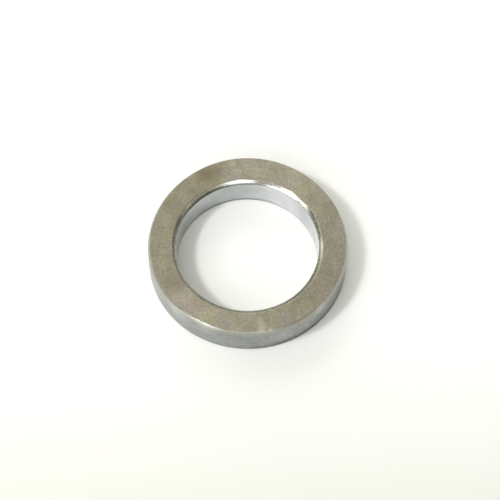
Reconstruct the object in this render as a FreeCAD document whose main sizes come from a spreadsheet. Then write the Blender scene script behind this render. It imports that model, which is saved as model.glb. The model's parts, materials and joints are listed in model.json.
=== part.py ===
import FreeCAD, Part
import os
import Sketcher

# A plain shaft collar: one solid turned steel ring that slides onto a shaft as a stop or a spacer.
# The origin is on the bore axis at the bottom face, and +Z runs along the bore. Units are millimetres.

NODE = "collar_ring"
SHEET = "sizes"

# Driving dimensions: alias, value and meaning. The sheet holds them and every size below reads it.
DIMENSIONS = [
    ("outer_diameter", 28.0, "outside of the ring"),
    ("bore_diameter", 20.0, "size of the shaft it fits"),
    ("ring_width", 5.0, "length along the shaft"),
    ("upper_bore_chamfer", 0.5, "leg of the 45 degree lead-in at the top of the bore"),
    ("lower_bore_chamfer", 0.2, "leg of the 45 degree edge break at the bottom of the bore"),
    ("upper_outer_radius", 0.4, "rounding of the top outer edge"),
    ("lower_outer_radius", 0.3, "rounding of the bottom outer edge"),
]

SAME_PLACE = 1e-4       # how closely an edge must match the radius and the height it is looked up by


def add_sheet(doc):
    sheet = doc.addObject("Spreadsheet::Sheet", SHEET)
    for row, (alias, value, meaning) in enumerate(DIMENSIONS, start=1):
        sheet.set(f"A{row}", alias)
        sheet.set(f"B{row}", str(value))
        sheet.set(f"C{row}", meaning)
        sheet.setAlias(f"B{row}", alias)
    doc.recompute()
    return sheet


def origin_plane(body, role):
    for feature in body.Origin.OriginFeatures:
        if feature.Role == role:
            return feature
    raise RuntimeError(f"{body.Label} has no {role}")


def add_circle(sketch, sheet, alias):
    """A circle about the sketch's origin whose diameter follows one cell of the sheet."""
    diameter = sheet.get(alias)
    centre = FreeCAD.Vector(0, 0, 0)
    normal = FreeCAD.Vector(0, 0, 1)
    circle = sketch.addGeometry(Part.Circle(centre, normal, diameter / 2))
    sketch.addConstraint(Sketcher.Constraint("Coincident", circle, 3, -1, 1))
    index = sketch.addConstraint(Sketcher.Constraint("Diameter", circle, diameter))
    sketch.renameConstraint(index, alias)
    sketch.setExpression(f"Constraints.{alias}", f"{SHEET}.{alias}")


def circular_edge(shape, radius, height):
    """Name of the edge that is a circle of this radius about the bore axis, at this height."""
    for number, edge in enumerate(shape.Edges, start=1):
        curve = edge.Curve
        if not isinstance(curve, Part.Circle):
            continue
        if abs(curve.Radius - radius) < SAME_PLACE and abs(curve.Center.z - height) < SAME_PLACE:
            return f"Edge{number}"
    raise RuntimeError(f"no edge of radius {radius} at height {height}")


def break_edge(body, kind, name, size_property, alias, radius, height):
    """A chamfer or a fillet on one circular edge of the body so far, sized from one cell of the sheet."""
    base = body.Tip
    feature = body.newObject(kind, name)
    feature.Base = (base, [circular_edge(base.Shape, radius, height)])
    feature.setExpression(size_property, f"{SHEET}.{alias}")
    body.Tip = feature
    body.Document.recompute()
    if feature.Shape.Volume >= base.Shape.Volume:
        raise RuntimeError(f"{name} removed no material")


def make_ring(doc, sheet):
    """The collar: a flat annulus padded to the ring's width, with its four edges then broken."""
    outer_radius = sheet.get("outer_diameter") / 2
    bore_radius = sheet.get("bore_diameter") / 2
    bottom = 0.0
    top = sheet.get("ring_width")

    body = doc.addObject("PartDesign::Body", "CollarRing")
    body.Label = NODE
    body.Placement = FreeCAD.Placement()

    face_sketch = body.newObject("Sketcher::SketchObject", "FaceSketch")
    face_sketch.AttachmentSupport = [(origin_plane(body, "XY_Plane"), "")]
    face_sketch.MapMode = "FlatFace"
    add_circle(face_sketch, sheet, "outer_diameter")
    add_circle(face_sketch, sheet, "bore_diameter")

    blank = body.newObject("PartDesign::Pad", "Blank")
    blank.Profile = face_sketch
    blank.setExpression("Length", f"{SHEET}.ring_width")
    body.Tip = blank
    doc.recompute()

    break_edge(body, "PartDesign::Chamfer", "UpperBoreChamfer", "Size", "upper_bore_chamfer",
               bore_radius, top)
    break_edge(body, "PartDesign::Chamfer", "LowerBoreChamfer", "Size", "lower_bore_chamfer",
               bore_radius, bottom)
    break_edge(body, "PartDesign::Fillet", "UpperOuterRounding", "Radius", "upper_outer_radius",
               outer_radius, top)
    break_edge(body, "PartDesign::Fillet", "LowerOuterRounding", "Radius", "lower_outer_radius",
               outer_radius, bottom)
    return body


def check(doc, ring):
    for item in doc.Objects:
        if "Invalid" in item.State or "Error" in item.State:
            raise RuntimeError(f"{item.Label} failed to compute: {item.State}")
    if ring.Shape.isNull() or not ring.Shape.isValid():
        raise RuntimeError(f"{ring.Label} has no valid shape")
    if len(ring.Shape.Solids) != 1:
        raise RuntimeError(f"{ring.Label} is {len(ring.Shape.Solids)} solids, not one")


def main():
    doc = FreeCAD.newDocument("shaft_collar")
    sheet = add_sheet(doc)
    ring = make_ring(doc, sheet)
    doc.recompute()
    check(doc, ring)
    os.makedirs("parts", exist_ok=True)
    ring.Shape.exportStep(f"parts/{ring.Label}.step")
    box = ring.Shape.optimalBoundingBox(False, False)
    print(f"{ring.Label}: {box.XLength:.3f} x {box.YLength:.3f} x {box.ZLength:.3f} mm,",
          f"{ring.Shape.Volume:.3f} mm3")


main()
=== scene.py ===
import json
import math

import bmesh
import bpy
from mathutils import Matrix, Quaternion, Vector, noise


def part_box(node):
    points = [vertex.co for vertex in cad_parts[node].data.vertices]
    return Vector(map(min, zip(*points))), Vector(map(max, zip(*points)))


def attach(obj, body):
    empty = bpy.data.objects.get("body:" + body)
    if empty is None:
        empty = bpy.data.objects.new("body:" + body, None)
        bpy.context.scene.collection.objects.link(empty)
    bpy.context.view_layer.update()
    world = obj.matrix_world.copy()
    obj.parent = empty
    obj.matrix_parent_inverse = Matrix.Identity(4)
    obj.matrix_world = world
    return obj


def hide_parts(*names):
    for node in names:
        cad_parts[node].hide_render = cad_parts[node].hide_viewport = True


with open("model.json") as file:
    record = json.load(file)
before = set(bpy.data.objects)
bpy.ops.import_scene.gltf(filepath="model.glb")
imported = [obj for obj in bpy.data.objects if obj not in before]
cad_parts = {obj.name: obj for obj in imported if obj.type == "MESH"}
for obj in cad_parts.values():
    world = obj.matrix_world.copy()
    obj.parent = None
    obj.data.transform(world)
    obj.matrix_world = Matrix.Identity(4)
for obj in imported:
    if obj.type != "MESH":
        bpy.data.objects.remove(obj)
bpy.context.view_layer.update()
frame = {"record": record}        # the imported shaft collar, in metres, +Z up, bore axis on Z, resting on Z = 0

NODE = "collar_ring"
MM = 0.001
TURN = 2 * math.pi

# Sizes read from the frame. The CAD mesh has flats round it, so the smaller of its two reaches is taken.
cad_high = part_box(NODE)[1]
OUTER = min(cad_high.x, cad_high.y)
TOP = cad_high.z
BORE = next(m for m in frame["record"]["mounts"] if m["name"] == "bore")["dims"]["r_mm"] * MM

# The bore and its chamfer were cut a little off the outer wall's centre, towards -Y.
BORE_SHIFT = (-0.05 * MM, -0.18 * MM)
CHAMFER_SHIFT = (-0.01 * MM, -0.28 * MM)

LOWER_BORE_CHAMFER = 0.07 * MM
LOWER_OUTER_RADIUS = 0.3 * MM

# How finely the ring is divided: round its axis, then along each part of its section.
SEGMENTS = 1024
BORE_WALL_STEPS = 16
UPPER_BORE_EDGE_STEPS = 8
TOP_FACE_STEPS = 23
UPPER_OUTER_EDGE_STEPS = 10
RIM_STEPS = 12
LOWER_OUTER_EDGE_STEPS = 6
BOTTOM_FACE_STEPS = 16
LOWER_BORE_CHAMFER_STEPS = 3

FLOOR_SIZE = 4           # metres
CARD_DISTANCE = 0.7      # from the ring to each light, in metres
SEED_SPACING = 7.31      # keeps the random waves of different seeds apart

# Material slots on the visible ring, in order.
FACE, CHAMFER, BORE_WALL, RIM = range(4)

# Places on the ring are in degrees, anticlockwise from +X seen from above, with the camera's side at 270.
# The functions that make the shape take the angle of the section that they work on in radians.


# ---------------------------------------------------------------- shape

def wobble(angle, cycles, seed):
    """A smooth random wave round the ring, about -1 to 1, that closes on itself after one turn."""
    reach = cycles / TURN
    return noise.noise(Vector((reach * math.cos(angle), reach * math.sin(angle), seed * SEED_SPACING)))


def swell(angle, middle, half_width):
    """1 at the middle angle, in degrees, falling smoothly to 0 at half_width either side."""
    away = abs((math.degrees(angle) - middle + 180) % 360 - 180)
    return 0.5 + 0.5 * math.cos(math.pi * away / half_width) if away < half_width else 0.0


def shifted(radius, angle, shift):
    """Distance from the ring's axis to a circle of this radius whose centre is off by shift."""
    return radius + shift[0] * math.cos(angle) + shift[1] * math.sin(angle)


def fractions(steps):
    """0 to 1 in equal steps, both ends included."""
    return [step / steps for step in range(steps + 1)]


def run(start, end, count):
    """A straight run in the section, divided into count steps; its last point is left out."""
    return [(start[0] + (end[0] - start[0]) * step / count, start[1] + (end[1] - start[1]) * step / count)
            for step in range(count)]


def upper_bore_edge(angle):
    """The hand-broken upper bore edge, slightly convex, from the bore wall up to the face.

    It is wider at the back left, and has bumps and dips from the back round to the right."""
    depth = 0.56 * MM * (1 + 0.05 * wobble(angle, 6, 3) + 0.03 * wobble(angle, 31, 4))
    reach = 0.51 * MM * (1 + 0.06 * wobble(angle, 5, 1) + 0.03 * wobble(angle, 26, 2))
    reach *= 1 + 0.25 * swell(angle, 150, 50) + 0.35 * swell(angle, 98, 12) - 0.12 * swell(angle, 79, 9)
    reach *= 1 + 0.15 * swell(angle, 54, 7) - 0.25 * swell(angle, 42, 10) - 0.15 * swell(angle, 12, 14)
    wall = shifted(BORE, angle, BORE_SHIFT)
    face = shifted(BORE, angle, CHAMFER_SHIFT) + reach
    bulge = 0.03
    points = []
    for t in fractions(UPPER_BORE_EDGE_STEPS):
        lift = 4 * bulge * t * (1 - t)
        points.append((wall + (face - wall) * (t - lift), TOP - depth * (1 - t - lift)))
    return points


def knocked_stretch(angle, half_width):
    """The stretch of the top outer edge that is knocked flat at the front left, with one gap in it."""
    return swell(angle, 243, half_width) * (1 - 0.9 * swell(angle, 241.5, 1.5))


def upper_outer_edge(angle):
    """The top outer edge, from the face down to the outer wall: a fine facet, then a long shallow curve.

    The facet is wider along the knocked stretch and at two nicks. The curve tightens at the left and back."""
    facet = 0.003 + 0.05 * knocked_stretch(angle, 10)
    facet += 0.06 * swell(angle, 282.5, 1.8) + 0.06 * swell(angle, 278, 1.8)
    facet *= MM * (1 + 0.5 * wobble(angle, 90, 9)) * (1 - 0.7 * swell(angle, 215, 18))
    inward = 0.33 * MM * (1 + 0.08 * wobble(angle, 7, 5) + 0.04 * wobble(angle, 40, 6))
    inward *= (1 - 0.85 * swell(angle, 218, 26)) * (1 - 0.5 * swell(angle, 90, 60))
    downward = 0.95 * MM * (1 + 0.08 * wobble(angle, 6, 7))
    curve = [(OUTER - inward * (1 - t) ** 2, TOP - facet - downward * t)
             for t in fractions(UPPER_OUTER_EDGE_STEPS)]
    return [(OUTER - inward - facet, TOP)] + curve


def lower_outer_edge():
    """The bottom outer edge, from the outer wall round to the bottom face: a quarter circle."""
    centre = (OUTER - LOWER_OUTER_RADIUS, LOWER_OUTER_RADIUS)
    turns = [math.pi / 2 * t for t in fractions(LOWER_OUTER_EDGE_STEPS)]
    return [(centre[0] + LOWER_OUTER_RADIUS * math.cos(a), centre[1] - LOWER_OUTER_RADIUS * math.sin(a))
            for a in turns]


def lip_softness(angle):
    """How far in from the facet the face begins to bend over: further where the edge is knocked or nicked."""
    softness = 0.003 + 0.07 * knocked_stretch(angle, 9)
    softness += 0.05 * swell(angle, 280.5, 4) + 0.03 * swell(angle, 319, 4)
    return softness * MM


def section(angle):
    """The ring's closed section at one angle, as (radius, height, slot), going up the bore wall first."""
    foot = shifted(BORE, angle, BORE_SHIFT)
    wall_foot = (foot, LOWER_BORE_CHAMFER)
    bottom_start = (foot + LOWER_BORE_CHAMFER, 0)
    inner = upper_bore_edge(angle)
    outer = upper_outer_edge(angle)
    lower = lower_outer_edge()
    lip = (outer[0][0] - lip_softness(angle), TOP)
    parts = [
        (BORE_WALL, run(wall_foot, inner[0], BORE_WALL_STEPS)),
        (CHAMFER, inner[:-1]),
        (FACE, run(inner[-1], lip, TOP_FACE_STEPS) + [lip]),
        (RIM, outer[:-1]),
        (RIM, run(outer[-1], lower[0], RIM_STEPS)),
        (RIM, lower[:-1]),
        (FACE, run(lower[-1], bottom_start, BOTTOM_FACE_STEPS)),
        (CHAMFER, run(bottom_start, wall_foot, LOWER_BORE_CHAMFER_STEPS)),
    ]
    return [(radius, height, slot) for slot, points in parts for radius, height in points]


def make_ring():
    """The visible ring: the section carried round the bore axis, as one closed mesh of quads."""
    mesh = bmesh.new()
    loops = []
    for step in range(SEGMENTS):
        angle = TURN * step / SEGMENTS
        loops.append([(mesh.verts.new((r * math.cos(angle), r * math.sin(angle), z)), slot)
                      for r, z, slot in section(angle)])
    around = len(loops[0])
    for step in range(SEGMENTS):
        here, after = loops[step], loops[(step + 1) % SEGMENTS]
        for i in range(around):
            j = (i + 1) % around
            face = mesh.faces.new((here[i][0], after[i][0], after[j][0], here[j][0]))
            face.material_index = here[i][1]
            face.smooth = True
    mesh.normal_update()
    if mesh.calc_volume(signed=True) < 0:
        bmesh.ops.reverse_faces(mesh, faces=mesh.faces)
    data = bpy.data.meshes.new("turned_ring")
    mesh.to_mesh(data)
    mesh.free()
    ring = bpy.data.objects.new("turned_ring", data)
    bpy.context.scene.collection.objects.link(ring)
    return ring


# ---------------------------------------------------------------- materials

# Patches on the surfaces. Each is the angle, radius and height of its middle, its reach, and its strength.
# Brown stains on the face; the two at the front left are painted shade, darkening it where the sheen falls.
FACE_STAINS_AND_SHADE = [
    (118, 12.5 * MM, TOP, 2.6 * MM, 0.78),
    (110, 12.7 * MM, TOP, 1.3 * MM, 0.50),
    (135, 10.8 * MM, TOP, 2.3 * MM, 0.32),
    (157, 10.6 * MM, TOP, 1.8 * MM, 0.32),
    (24, 12.3 * MM, TOP, 2.2 * MM, 0.25),
    (318, 12.0 * MM, TOP, 2.4 * MM, 0.15),
    (212, 11.6 * MM, TOP, 3.4 * MM, 0.35),
    (236, 11.1 * MM, TOP, 2.8 * MM, 0.35),
]
# Painted highlights on the face: glints at the two nicks on its front edge, and a faint radial sheen at the
# front and the back.
FACE_PAINTED_GLINTS = [
    (278.2, 13.5 * MM, TOP, 0.55 * MM, 0.90),
    (283.4, 13.6 * MM, TOP, 0.4 * MM, 0.90),
    (279, 13.0 * MM, TOP, 0.9 * MM, 0.55),
    (278, 12.1 * MM, TOP, 0.9 * MM, 0.35),
    (100, 13.1 * MM, TOP, 0.9 * MM, 0.50),
    (99, 12.0 * MM, TOP, 0.8 * MM, 0.25),
]
# Painted shade on the upper bore edge: dark patches where its glint breaks off, at the right, the back and the
# back left.
CHAMFER_PAINTED_SHADE = [
    (31, 10.2 * MM, 4.8 * MM, 2.2 * MM, 0.75),
    (78, 10.2 * MM, 4.8 * MM, 1.1 * MM, 0.40),
    (160, 10.2 * MM, 4.8 * MM, 3.0 * MM, 0.35),
]
# Painted shade on the bore wall: darker patches at the back right and the back.
BORE_PAINTED_SHADE = [
    (35, 9.9 * MM, 2.8 * MM, 4.2 * MM, 0.65),
    (106, 9.9 * MM, 2.8 * MM, 2.4 * MM, 0.45),
]
# Painted shade with an olive tint on the bore wall at the back left.
BORE_OLIVE_SHADE = [
    (158, 9.9 * MM, 1.6 * MM, 2.6 * MM, 0.50),
]
# Painted sheen on the outer wall: lighter patches near its top at the front right and front left, and lower down
# at the front.
RIM_PAINTED_SHEEN = [
    (316, 13.9 * MM, 4.3 * MM, 1.5 * MM, 0.60),
    (290, 14.0 * MM, 3.0 * MM, 2.4 * MM, 0.30),
    (246, 13.9 * MM, 4.2 * MM, 2.2 * MM, 0.35),
    (226, 13.9 * MM, 4.2 * MM, 3.0 * MM, 0.60),
]
# Dark patches on the outer wall: the large one at the right is painted shade, where the wall mirrors the
# shadowed floor; the two at the front are stains.
RIM_STAINS_AND_SHADE = [
    (334, 14.0 * MM, 2.4 * MM, 4.0 * MM, 0.60),
    (263, 14.0 * MM, 3.2 * MM, 0.7 * MM, 0.50),
    (272, 14.0 * MM, 1.8 * MM, 2.0 * MM, 0.15),
]

# Colours, as linear red, green and blue.
OLIVE_OXIDE = (0.320, 0.309, 0.221)
TAN_OXIDE = (0.329, 0.299, 0.258)
# The brown of the face's stains, also used for its painted shade at the front left.
BROWN_STAIN_AND_SHADE = (0.195, 0.16, 0.10)
# Painted highlight: the pale tone of the face's glints and radial sheen.
FACE_GLINT_TONE = (0.52, 0.47, 0.40)

LIGHT_EDGE = (0.47, 0.46, 0.39)
DARK_EDGE = (0.40, 0.39, 0.30)
# Painted highlight: the pale tone of the upper bore edge at the back right.
PAINTED_GLINT_EDGE = (0.62, 0.615, 0.59)
# Painted shade: the dark tone of the upper bore edge's patches.
EDGE_PAINTED_SHADE = (0.22, 0.215, 0.17)
# Painted shade: the dark line along the foot of the upper bore edge.
EDGE_FOOT_PAINTED_SHADE = (0.10, 0.10, 0.07)
# Painted shade: the darker upper part of the edge at the back right.
EDGE_TOP_PAINTED_SHADE = (0.24, 0.23, 0.20)
# Painted shade: the dark tone of the edge on the camera's side.
NEAR_EDGE_PAINTED_SHADE = (0.205, 0.197, 0.15)

BORE_MIDDLE = (0.49, 0.51, 0.515)
# Painted light: the lighter tone of the bore wall on the right.
BORE_RIGHT_PAINTED_LIGHT = (0.74, 0.745, 0.765)
BORE_LEFT = (0.56, 0.575, 0.54)
BORE_MARK = (0.42, 0.43, 0.42)
# Painted shade: the tone of the bore wall's darker patches.
BORE_SHADE_TONE = (0.42, 0.44, 0.44)
# Painted shade: the olive tone of the bore wall's shaded patch.
OLIVE_SHADE_TONE = (0.30, 0.31, 0.22)
# Painted shade: the dark line along the top of the bore wall.
BORE_TOP_PAINTED_SHADE = (0.12, 0.12, 0.09)
# Painted shade: the dark tone at the foot of the bore wall.
BORE_FOOT_PAINTED_SHADE = (0.16, 0.16, 0.15)

WARM_RIM = (0.358, 0.36, 0.318)
BLUE_RIM = (0.302, 0.319, 0.334)
RIM_MARK = (0.27, 0.28, 0.27)
# Painted light: the lighter, warmer tone of the outer wall's top band.
RIM_TOP_PAINTED_LIGHT = (0.37, 0.362, 0.315)
# Painted sheen: the light tone of the outer wall's sheen patches.
RIM_SHEEN_TONE = (0.56, 0.56, 0.53)
# The dark tone of the outer wall's stains and of its painted shade at the right.
RIM_STAIN_AND_SHADE_TONE = (0.215, 0.207, 0.165)
# Painted shade: the dark tone at the foot of the outer wall.
RIM_FOOT_PAINTED_SHADE = (0.075, 0.08, 0.088)

# Painted shade: the greyer paper on the camera's side.
NEAR_PAPER_PAINTED_SHADE = (0.645, 0.66, 0.61)
PAPER = (0.845, 0.855, 0.835)

# A noise mostly stays between these two values.
NOISE_LOW, NOISE_HIGH = 0.3, 0.7


class Metal:
    """A metal material on the ring, with short names for the nodes that its patterns are made from."""

    def __init__(self, name, anisotropic):
        self.material = bpy.data.materials.new(name)
        self.material.use_nodes = True
        self.tree = self.material.node_tree
        self.shader = self.tree.nodes["Principled BSDF"]
        self.shader.inputs["Metallic"].default_value = 1
        self.shader.inputs["Anisotropic"].default_value = anisotropic
        self.shader.inputs["Anisotropic Rotation"].default_value = 0.25
        tangent = self.add("ShaderNodeTangent", direction_type="RADIAL", axis="Z")
        self.link(tangent.outputs["Tangent"], self.shader.inputs["Tangent"])
        self.place = self.add("ShaderNodeTexCoord").outputs["Object"]
        split = self.add("ShaderNodeSeparateXYZ")
        self.link(self.place, split.inputs[0])
        self.x, self.y, self.z = split.outputs
        x_squared = self.math("MULTIPLY", self.x, self.x)
        y_squared = self.math("MULTIPLY", self.y, self.y)
        self.radius = self.math("SQRT", self.math("ADD", x_squared, y_squared))

    def add(self, kind, **settings):
        node = self.tree.nodes.new(kind)
        for name, value in settings.items():
            setattr(node, name, value)
        return node

    def link(self, source, target):
        self.tree.links.new(source, target)

    def feed(self, target, value):
        """Link a socket, or set a plain number, colour or vector."""
        if isinstance(value, bpy.types.NodeSocket):
            self.link(value, target)
        else:
            target.default_value = value

    def math(self, operation, a, b=0.0):
        node = self.add("ShaderNodeMath", operation=operation)
        self.feed(node.inputs[0], a)
        self.feed(node.inputs[1], b)
        return node.outputs[0]

    def span(self, value, low, high, to_low, to_high):
        """Map low to high onto to_low to to_high, smoothly and clamped."""
        node = self.add("ShaderNodeMapRange", interpolation_type="SMOOTHSTEP")
        for socket, number in zip(node.inputs, (value, low, high, to_low, to_high)):
            self.feed(socket, number)
        return node.outputs[0]

    def stretch(self, noise_value, to_low, to_high):
        """A noise's usual range mapped onto to_low to to_high."""
        return self.span(noise_value, NOISE_LOW, NOISE_HIGH, to_low, to_high)

    def round_space(self, around, across, along_axis):
        """Coordinates that follow the ring: features long round it and short across it, in metres each."""
        node = self.add("ShaderNodeCombineXYZ")
        reach = self.math("MULTIPLY", self.radius, around)
        self.feed(node.inputs[0], self.math("DIVIDE", self.x, reach))
        self.feed(node.inputs[1], self.math("DIVIDE", self.y, reach))
        height = self.math("DIVIDE", self.z, along_axis)
        self.feed(node.inputs[2], self.math("ADD", self.math("DIVIDE", self.radius, across), height))
        return node.outputs[0]

    def noise(self, vector, scale, detail=2.0, roughness=0.5):
        node = self.add("ShaderNodeTexNoise")
        self.feed(node.inputs["Vector"], vector)
        for name, value in (("Scale", scale), ("Detail", detail), ("Roughness", roughness)):
            node.inputs[name].default_value = value
        return node.outputs["Fac"]

    def mix(self, factor, a, b, blend="MIX"):
        node = self.add("ShaderNodeMix", data_type="RGBA", blend_type=blend)
        self.feed(node.inputs[0], factor)
        for socket, value in zip(node.inputs[6:8], (a, b)):
            self.feed(socket, (*value, 1) if isinstance(value, tuple) else value)
        return node.outputs[2]

    def colour(self, value):
        self.link(value, self.shader.inputs["Base Color"])

    def roughness(self, value):
        self.link(value, self.shader.inputs["Roughness"])

    def bump(self, height, distance):
        node = self.add("ShaderNodeBump")
        node.inputs["Strength"].default_value = 1
        node.inputs["Distance"].default_value = distance
        self.link(height, node.inputs["Height"])
        self.link(node.outputs["Normal"], self.shader.inputs["Normal"])

    def shade(self, tone, factor):
        """The tone made darker or lighter by a factor that varies over the surface."""
        return self.mix(1.0, tone, factor, "MULTIPLY")

    def spots(self, tone, places, colour):
        """Soft round patches of another colour, one for each place."""
        for angle, radius, height, reach, strength in places:
            gap = self.add("ShaderNodeVectorMath", operation="DISTANCE")
            turn = math.radians(angle)
            self.link(self.place, gap.inputs[0])
            gap.inputs[1].default_value = (radius * math.cos(turn), radius * math.sin(turn), height)
            tone = self.mix(self.span(gap.outputs["Value"], 0, reach, strength, 0), tone, colour)
        return tone

    def toward(self, angle, low, high):
        """1 on this side of the ring, falling to 0 as the cosine from this angle drops from high to low."""
        turn = math.radians(angle)
        along_x = self.math("MULTIPLY", self.x, math.cos(turn))
        along_y = self.math("MULTIPLY", self.y, math.sin(turn))
        cosine = self.math("DIVIDE", self.math("ADD", along_x, along_y), self.radius)
        return self.span(cosine, low, high, 0, 1)


def faced_steel():
    """The flat faces: dull, yellow-brown with old oxide, mottled, stained in places, painted darker as shade at
    the front left, with painted glints at the nicks and a painted radial sheen at the front and back.
    """
    metal = Metal("faced_steel", anisotropic=0.45)
    patches = metal.noise(metal.place, 330, 3, 0.6)
    tone = metal.mix(metal.span(patches, 0.34, 0.66, 0, 1), OLIVE_OXIDE, TAN_OXIDE)
    grain = metal.noise(metal.place, 3200, 3, 0.7)
    tone = metal.shade(tone, metal.stretch(grain, 0.80, 1.20))
    blotches = metal.noise(metal.place, 520, 3, 0.65)
    tone = metal.shade(tone, metal.stretch(blotches, 0.89, 1.11))
    # Stains, and painted shade at the front left.
    tone = metal.spots(tone, FACE_STAINS_AND_SHADE, BROWN_STAIN_AND_SHADE)
    # Painted highlights: glints at the nicks and a radial sheen, laid over the stained tone.
    metal.colour(metal.spots(tone, FACE_PAINTED_GLINTS, FACE_GLINT_TONE))
    metal.roughness(metal.stretch(grain, 0.48, 0.58))
    marks = metal.noise(metal.round_space(2.5, 0.12 * MM, 0.3 * MM), 1, 2)
    faint_marks = metal.math("MULTIPLY", marks, 0.3)
    metal.bump(metal.math("ADD", faint_marks, grain), 0.004 * MM)
    return metal.material


def broken_edge_steel():
    """The bore's edge breaks: smoother than the faces, with uneven deburring marks.

    The upper one is painted pale at the back right as a highlight, with dark patches and the top of one stretch
    painted as shade where the glint breaks off.
    Painted shade also darkens a line along its foot at the back left, and the whole edge at the front."""
    metal = Metal("broken_edge_steel", anisotropic=0.3)
    marks = metal.noise(metal.round_space(0.06, 0.25 * MM, 0.25 * MM), 1, 3)
    tone = metal.mix(metal.stretch(marks, 0, 1), LIGHT_EDGE, DARK_EDGE)
    # Painted highlight: the back right of the edge made pale, where it mirrors the windows.
    tone = metal.mix(metal.toward(68, 0.66, 0.80), tone, PAINTED_GLINT_EDGE)
    # Painted shade: dark patches where the glint breaks off.
    tone = metal.spots(tone, CHAMFER_PAINTED_SHADE, EDGE_PAINTED_SHADE)
    # Painted shade: a dark line along the lower part of the edge at the back left.
    low = metal.span(metal.z, TOP - 0.47 * MM, TOP - 0.31 * MM, 0.82, 0)
    tone = metal.mix(metal.math("MULTIPLY", low, metal.toward(116, 0.74, 0.92)), tone, EDGE_FOOT_PAINTED_SHADE)
    # Painted shade: the upper part of the edge darkened at the back right, so that the glint there keeps to the
    # lower part.
    high = metal.span(metal.z, TOP - 0.34 * MM, TOP - 0.16 * MM, 0, 0.85)
    tone = metal.mix(metal.math("MULTIPLY", high, metal.toward(73, 0.965, 0.992)), tone, EDGE_TOP_PAINTED_SHADE)
    # Painted shade: the edge made dark on the camera's side, where it mirrors the shadowed floor and bore.
    metal.colour(metal.mix(metal.toward(288, 0.2, 0.8), tone, NEAR_EDGE_PAINTED_SHADE))
    metal.roughness(metal.stretch(marks, 0.23, 0.33))
    return metal.material


def bored_steel():
    """The bore wall: slightly blue, painted lighter on the right where it mirrors the lit floor, with fine marks
    running round it.

    At the back left its top edge and its foot are painted dark as shade, and painted shade darkens patches at
    the back and the back right, one with an olive tint at the back left."""
    metal = Metal("bored_steel", anisotropic=0.6)
    marks = metal.noise(metal.round_space(0.4, 0.2 * MM, 0.08 * MM), 1, 3)
    # Painted light: the bore wall lighter towards the right, where it mirrors the lit floor inside the ring.
    tone = metal.mix(metal.span(metal.x, -1 * MM, 5 * MM, 0, 1), BORE_MIDDLE, BORE_RIGHT_PAINTED_LIGHT)
    tone = metal.mix(metal.span(metal.x, -10 * MM, -6 * MM, 0.8, 0), tone, BORE_LEFT)
    patches = metal.noise(metal.place, 500, 2, 0.5)
    tone = metal.shade(tone, metal.stretch(patches, 0.93, 1.07))
    tone = metal.mix(metal.stretch(marks, 0, 0.25), tone, BORE_MARK)
    # Painted shade: darker patches on the bore wall.
    tone = metal.spots(tone, BORE_PAINTED_SHADE, BORE_SHADE_TONE)
    # Painted shade with an olive tint at the back left.
    tone = metal.spots(tone, BORE_OLIVE_SHADE, OLIVE_SHADE_TONE)
    # Painted shade: a dark line along the top of the bore wall at the back left, under the edge break.
    high = metal.span(metal.z, TOP - 0.75 * MM, TOP - 0.56 * MM, 0, 0.85)
    tone = metal.mix(metal.math("MULTIPLY", high, metal.toward(114, 0.78, 0.94)), tone, BORE_TOP_PAINTED_SHADE)
    # Painted shade: the foot of the bore wall darkened at the back left, where it meets the floor.
    low = metal.span(metal.z, 0.05 * MM, 0.7 * MM, 1, 0)
    metal.colour(metal.mix(metal.math("MULTIPLY", low, metal.toward(128, 0.1, 0.9)), tone, BORE_FOOT_PAINTED_SHADE))
    metal.roughness(metal.stretch(marks, 0.18, 0.26))
    metal.bump(marks, 0.0015 * MM)
    return metal.material


def turned_rim_steel():
    """The outer wall: darker grey, turned, painted lighter near its top and in patches as sheen, stained in
    places, with painted shade on the right and on its foot at the front right.
    """
    metal = Metal("turned_rim_steel", anisotropic=0.6)
    marks = metal.noise(metal.round_space(0.3, 0.2 * MM, 0.1 * MM), 1, 3)
    patches = metal.noise(metal.place, 450, 3, 0.6)
    tone = metal.mix(metal.span(patches, 0.35, 0.65, 0, 1), WARM_RIM, BLUE_RIM)
    grain = metal.noise(metal.place, 1600, 3, 0.7)
    tone = metal.shade(tone, metal.stretch(grain, 0.80, 1.20))
    tone = metal.mix(metal.stretch(marks, 0, 0.5), tone, RIM_MARK)
    # Painted light: the outer wall a little lighter and warmer towards its top, where it mirrors the brighter
    # floor further out.
    tone = metal.mix(metal.span(metal.z, TOP - 1.1 * MM, TOP - 0.3 * MM, 0, 0.8), tone, RIM_TOP_PAINTED_LIGHT)
    # Painted sheen: lighter patches on the outer wall.
    tone = metal.spots(tone, RIM_PAINTED_SHEEN, RIM_SHEEN_TONE)
    # Stains, and painted shade at the right.
    tone = metal.spots(tone, RIM_STAINS_AND_SHADE, RIM_STAIN_AND_SHADE_TONE)
    # Painted shade: the foot of the outer wall darkened at the front right, where the floor beside it is in
    # shadow.
    low = metal.span(metal.z, 0.2 * MM, 1.7 * MM, 1, 0)
    metal.colour(metal.mix(metal.math("MULTIPLY", low, metal.toward(315, 0.6, 0.97)), tone, RIM_FOOT_PAINTED_SHADE))
    metal.roughness(metal.stretch(marks, 0.26, 0.36))
    metal.bump(marks, 0.002 * MM)
    return metal.material


def set_range(node, low, high, to_low, to_high):
    """Set a map range node's four limits."""
    for name, value in (("From Min", low), ("From Max", high), ("To Min", to_low), ("To Max", to_high)):
        node.inputs[name].default_value = value


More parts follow.
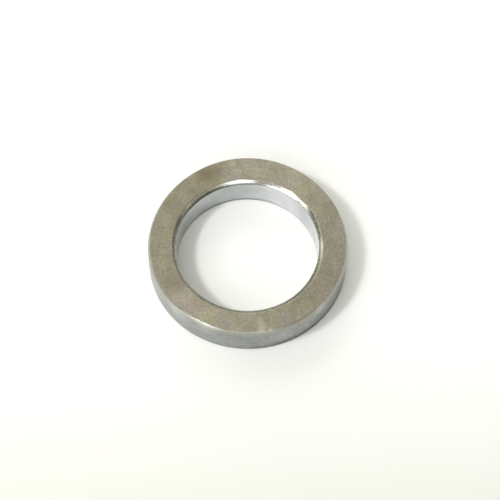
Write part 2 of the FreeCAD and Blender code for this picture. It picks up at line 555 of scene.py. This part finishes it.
def floor_material():
    """Pale paper, painted slightly greyer towards the camera's side as shade, where the light falls off."""
    material = bpy.data.materials.new("pale_paper")
    material.use_nodes = True
    tree = material.node_tree
    shader = tree.nodes["Principled BSDF"]
    place = tree.nodes.new("ShaderNodeTexCoord")
    split = tree.nodes.new("ShaderNodeSeparateXYZ")
    ramp = tree.nodes.new("ShaderNodeMapRange")
    # Painted shade: the paper greyer towards the camera's side, where the light falls off.
    set_range(ramp, -40 * MM, -6 * MM, 0, 1)
    blend = tree.nodes.new("ShaderNodeMix")
    blend.data_type = "RGBA"
    blend.inputs[6].default_value = (*NEAR_PAPER_PAINTED_SHADE, 1)
    blend.inputs[7].default_value = (*PAPER, 1)
    tree.links.new(place.outputs["Object"], split.inputs[0])
    tree.links.new(split.outputs[1], ramp.inputs[0])
    tree.links.new(ramp.outputs[0], blend.inputs[0])
    tree.links.new(blend.outputs[2], shader.inputs["Base Color"])
    shader.inputs["Roughness"].default_value = 0.9
    shader.inputs["Specular IOR Level"].default_value = 0.1
    return material


# ---------------------------------------------------------------- stage, lights and camera

def direction(azimuth, elevation):
    """A unit vector from the ring: azimuth 0 is towards the camera's side (-Y), 90 is +X."""
    a, e = math.radians(azimuth), math.radians(elevation)
    return Vector((math.sin(a) * math.cos(e), -math.cos(a) * math.cos(e), math.sin(e)))


def add_floor():
    bpy.ops.mesh.primitive_plane_add(size=FLOOR_SIZE)
    floor = bpy.context.object
    floor.name = "floor"
    floor.data.materials.append(floor_material())


def add_card(name, azimuth, elevation, wide, tall, radiance, lean=0.0, colour=(1, 1, 1)):
    """A soft rectangular light facing the ring. Wide, tall and lean are angles seen from it, in degrees."""
    light = bpy.data.lights.new(name, "AREA")
    light.shape = "RECTANGLE"
    light.size = 2 * CARD_DISTANCE * math.tan(math.radians(wide / 2))
    light.size_y = 2 * CARD_DISTANCE * math.tan(math.radians(tall / 2))
    light.energy = radiance * math.pi * light.size * light.size_y
    light.color = colour
    card = bpy.data.objects.new(name, light)
    away = direction(azimuth, elevation)
    card.location = away * CARD_DISTANCE
    card.rotation_mode = "QUATERNION"
    card.rotation_quaternion = away.to_track_quat("Z", "Y") @ Quaternion((0, 0, 1), math.radians(-lean))
    bpy.context.scene.collection.objects.link(card)


def add_world():
    """The room's own light: a pale ceiling straight overhead, falling to a dark horizon."""
    world = bpy.data.worlds.new("studio")
    world.use_nodes = True
    tree = world.node_tree
    background = tree.nodes["Background"]
    place = tree.nodes.new("ShaderNodeTexCoord")
    split = tree.nodes.new("ShaderNodeSeparateXYZ")
    ramp = tree.nodes.new("ShaderNodeMapRange")
    ramp.interpolation_type = "SMOOTHSTEP"
    set_range(ramp, 0.6, 1.0, 0.06, 0.56)
    tree.links.new(place.outputs["Generated"], split.inputs[0])
    tree.links.new(split.outputs[2], ramp.inputs[0])
    tree.links.new(ramp.outputs[0], background.inputs["Strength"])
    background.inputs["Color"].default_value = (1.0, 0.98, 0.81, 1)
    bpy.context.scene.world = world


def add_lights():
    """A small lamp and windows at the left, a window in front, pale walls behind, and little at the right."""
    add_world()
    # Each card is its azimuth, elevation, width and height in degrees, and its radiance.
    add_card("key", -66, 56, 8, 8, 67, colour=(1, 1, 1.04))
    add_card("left_window_top", -60, 50, 60, 24, 0.78)
    add_card("left_window", -50, 25, 40, 33, 2.1)
    add_card("left_window_sill", -53, 4.5, 62, 8, 6.2)
    add_card("front_window", 6, 27, 44, 44, 2.1, lean=22)
    add_card("front_ceiling", 5, 62, 50, 20, 0.3)
    add_card("pale_wall", -148, 26, 80, 48, 1.9, colour=(1, 0.985, 0.92))
    add_card("back_wall", 175, 30, 40, 40, 0.9)
    add_card("right_gleam", 58, 31, 60, 13, 1.2)
    add_card("right_door", 95, 9, 40, 12, 0.4)
    add_card("back_lamp", 132, 47, 36, 24, 0.75)


def add_camera():
    """The camera on the -Y side, looking down at the ring, aimed a little right of and above the origin."""
    elevation = 62.69
    distance = 233.3 * MM
    roll = math.radians(-0.48)
    aim_right, aim_up = 0.309 * MM, 1.387 * MM
    away = direction(0, elevation)
    right = Vector((1, 0, 0))
    up = away.cross(right)
    location = away * distance
    forward = (right * aim_right + up * aim_up - location).normalized()
    right = forward.cross(up).normalized()
    up = right.cross(forward)
    rolled_right = right * math.cos(roll) - up * math.sin(roll)
    rolled_up = up * math.cos(roll) + right * math.sin(roll)
    camera = bpy.data.objects.new("camera", bpy.data.cameras.new("camera"))
    camera.data.sensor_width = 36
    camera.data.lens = 118.0
    camera.data.clip_start, camera.data.clip_end = 0.01, 10
    camera.matrix_world = Matrix((
        (rolled_right.x, rolled_up.x, -forward.x, location.x),
        (rolled_right.y, rolled_up.y, -forward.y, location.y),
        (rolled_right.z, rolled_up.z, -forward.z, location.z),
        (0, 0, 0, 1),
    ))
    bpy.context.scene.collection.objects.link(camera)
    bpy.context.scene.camera = camera


add_camera()
add_floor()
add_lights()
bpy.context.scene.view_settings.view_transform = "Standard"

ring = make_ring()
for material in (faced_steel(), broken_edge_steel(), bored_steel(), turned_rim_steel()):
    ring.data.materials.append(material)
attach(ring, "root")
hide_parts(NODE)
